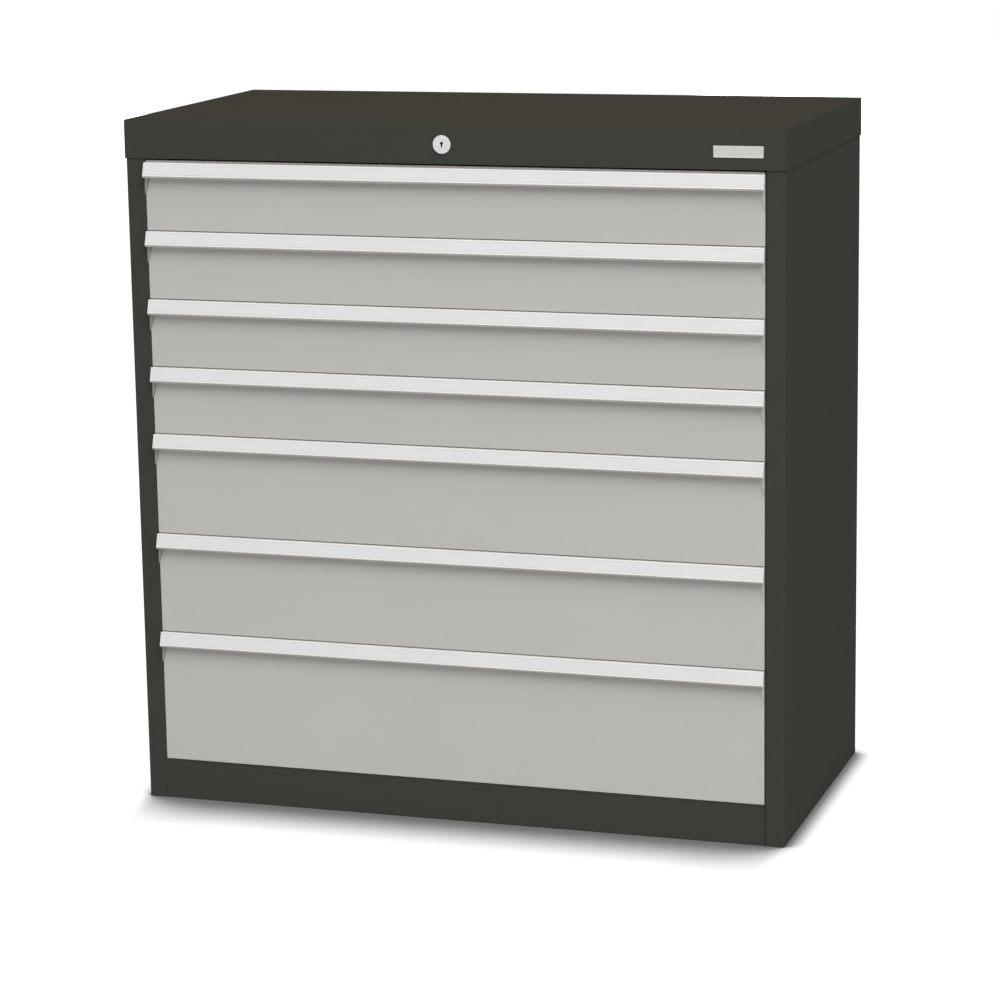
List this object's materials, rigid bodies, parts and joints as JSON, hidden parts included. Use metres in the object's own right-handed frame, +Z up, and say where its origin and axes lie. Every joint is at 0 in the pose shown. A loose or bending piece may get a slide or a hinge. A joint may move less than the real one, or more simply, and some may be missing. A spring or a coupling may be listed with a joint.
{
  "type": "drawer cabinet",
  "caption": "Low industrial steel drawer cabinet with full-width aluminium grips, full-extension drawers, a welded dark housing and a central lock.",
  "frame": {"origin": "middle of the whole envelope, grips included, on the floor", "axes": "+Z up, drawers open towards -Y, +X to the right as seen from the front"},
  "size_m": [0.98, 0.5098, 1.019],
  "materials": {
    "housing_paint": "dark grey powder coat, fine texture",
    "drawer_paint": "light grey powder coat, fine texture",
    "inner_paint": "light grey powder coat, smooth",
    "zinc_steel": "zinc plated sheet, satin",
    "grip_aluminium": "clear anodised, satin",
    "cap_plastic": "moulded, satin",
    "lock_metal": "satin nickel plated"
  },
  "bodies": {
    "root": {"side_panel_right": "housing_paint", "side_panel_left": "housing_paint", "back_panel": "housing_paint", "base": "housing_paint", "top_cover": "housing_paint", "head_rail": "inner_paint", "uprights_right": "zinc_steel", "uprights_left": "zinc_steel", "cabinet_rails_right": "zinc_steel", "cabinet_rails_left": "zinc_steel", "lock_housing": "lock_metal", "lock_guides": "zinc_steel"},
    "drawer_1": {"drawer_1_tray": "inner_paint", "drawer_1_panel": "drawer_paint", "drawer_1_grip": "grip_aluminium", "drawer_1_grip_caps": "cap_plastic", "drawer_1_runners": "zinc_steel"},
    "middle_rails_1": {"drawer_1_middle_rails": "zinc_steel"},
    "drawer_2": {"drawer_2_tray": "inner_paint", "drawer_2_panel": "drawer_paint", "drawer_2_grip": "grip_aluminium", "drawer_2_grip_caps": "cap_plastic", "drawer_2_runners": "zinc_steel"},
    "middle_rails_2": {"drawer_2_middle_rails": "zinc_steel"},
    "drawer_3": {"drawer_3_tray": "inner_paint", "drawer_3_panel": "drawer_paint", "drawer_3_grip": "grip_aluminium", "drawer_3_grip_caps": "cap_plastic", "drawer_3_runners": "zinc_steel"},
    "middle_rails_3": {"drawer_3_middle_rails": "zinc_steel"},
    "drawer_4": {"drawer_4_tray": "inner_paint", "drawer_4_panel": "drawer_paint", "drawer_4_grip": "grip_aluminium", "drawer_4_grip_caps": "cap_plastic", "drawer_4_runners": "zinc_steel"},
    "middle_rails_4": {"drawer_4_middle_rails": "zinc_steel"},
    "drawer_5": {"drawer_5_tray": "inner_paint", "drawer_5_panel": "drawer_paint", "drawer_5_grip": "grip_aluminium", "drawer_5_grip_caps": "cap_plastic", "drawer_5_runners": "zinc_steel"},
    "middle_rails_5": {"drawer_5_middle_rails": "zinc_steel"},
    "drawer_6": {"drawer_6_tray": "inner_paint", "drawer_6_panel": "drawer_paint", "drawer_6_grip": "grip_aluminium", "drawer_6_grip_caps": "cap_plastic", "drawer_6_runners": "zinc_steel"},
    "middle_rails_6": {"drawer_6_middle_rails": "zinc_steel"},
    "drawer_7": {"drawer_7_tray": "inner_paint", "drawer_7_panel": "drawer_paint", "drawer_7_grip": "grip_aluminium", "drawer_7_grip_caps": "cap_plastic", "drawer_7_runners": "zinc_steel"},
    "middle_rails_7": {"drawer_7_middle_rails": "zinc_steel"},
    "lock_core": {"lock_plug": "lock_metal", "lock_cam": "zinc_steel"},
    "slide_bar": {"lock_slide_bar": "zinc_steel"},
    "lock_bar": {"lock_bar": "zinc_steel", "lock_catches": "zinc_steel"}
  },
  "joints": [
    {"name": "drawer_1_slide", "type": "slide", "parent": "root", "child": "drawer_1", "axis": [0, -1, 0], "range_m": [0, 0.42]},
    {"name": "middle_rails_1_slide", "type": "slide", "parent": "root", "child": "middle_rails_1", "axis": [0, -1, 0], "range_m": [0, 0.21]},
    {"name": "drawer_2_slide", "type": "slide", "parent": "root", "child": "drawer_2", "axis": [0, -1, 0], "range_m": [0, 0.42]},
    {"name": "middle_rails_2_slide", "type": "slide", "parent": "root", "child": "middle_rails_2", "axis": [0, -1, 0], "range_m": [0, 0.21]},
    {"name": "drawer_3_slide", "type": "slide", "parent": "root", "child": "drawer_3", "axis": [0, -1, 0], "range_m": [0, 0.42]},
    {"name": "middle_rails_3_slide", "type": "slide", "parent": "root", "child": "middle_rails_3", "axis": [0, -1, 0], "range_m": [0, 0.21]},
    {"name": "drawer_4_slide", "type": "slide", "parent": "root", "child": "drawer_4", "axis": [0, -1, 0], "range_m": [0, 0.42]},
    {"name": "middle_rails_4_slide", "type": "slide", "parent": "root", "child": "middle_rails_4", "axis": [0, -1, 0], "range_m": [0, 0.21]},
    {"name": "drawer_5_slide", "type": "slide", "parent": "root", "child": "drawer_5", "axis": [0, -1, 0], "range_m": [0, 0.42]},
    {"name": "middle_rails_5_slide", "type": "slide", "parent": "root", "child": "middle_rails_5", "axis": [0, -1, 0], "range_m": [0, 0.21]},
    {"name": "drawer_6_slide", "type": "slide", "parent": "root", "child": "drawer_6", "axis": [0, -1, 0], "range_m": [0, 0.42]},
    {"name": "middle_rails_6_slide", "type": "slide", "parent": "root", "child": "middle_rails_6", "axis": [0, -1, 0], "range_m": [0, 0.21]},
    {"name": "drawer_7_slide", "type": "slide", "parent": "root", "child": "drawer_7", "axis": [0, -1, 0], "range_m": [0, 0.42]},
    {"name": "middle_rails_7_slide", "type": "slide", "parent": "root", "child": "middle_rails_7", "axis": [0, -1, 0], "range_m": [0, 0.21]},
    {"name": "lock_turn", "type": "hinge", "parent": "root", "child": "lock_core", "pos_m": [-0.0045, -0.2439, 0.991], "axis": [0, -1, 0], "range_deg": [0, 90]},
    {"name": "slide_bar_slide", "type": "slide", "parent": "root", "child": "slide_bar", "axis": [1, 0, 0], "range_m": [0, 0.0198]},
    {"name": "lock_bar_lift", "type": "slide", "parent": "root", "child": "lock_bar", "axis": [0, 0, 1], "range_m": [0, 0.0119]}
  ],
  "couplings": [
    {"joint": "middle_rails_1_slide", "follows": "drawer_1_slide", "ratio": 0.5},
    {"joint": "middle_rails_2_slide", "follows": "drawer_2_slide", "ratio": 0.5},
    {"joint": "middle_rails_3_slide", "follows": "drawer_3_slide", "ratio": 0.5},
    {"joint": "middle_rails_4_slide", "follows": "drawer_4_slide", "ratio": 0.5},
    {"joint": "middle_rails_5_slide", "follows": "drawer_5_slide", "ratio": 0.5},
    {"joint": "middle_rails_6_slide", "follows": "drawer_6_slide", "ratio": 0.5},
    {"joint": "middle_rails_7_slide", "follows": "drawer_7_slide", "ratio": 0.5},
    {"joint": "lock_turn", "follows": "slide_bar_slide", "rad_per_m": 79.33},
    {"joint": "lock_bar_lift", "follows": "slide_bar_slide", "ratio": 0.6}
  ]
}
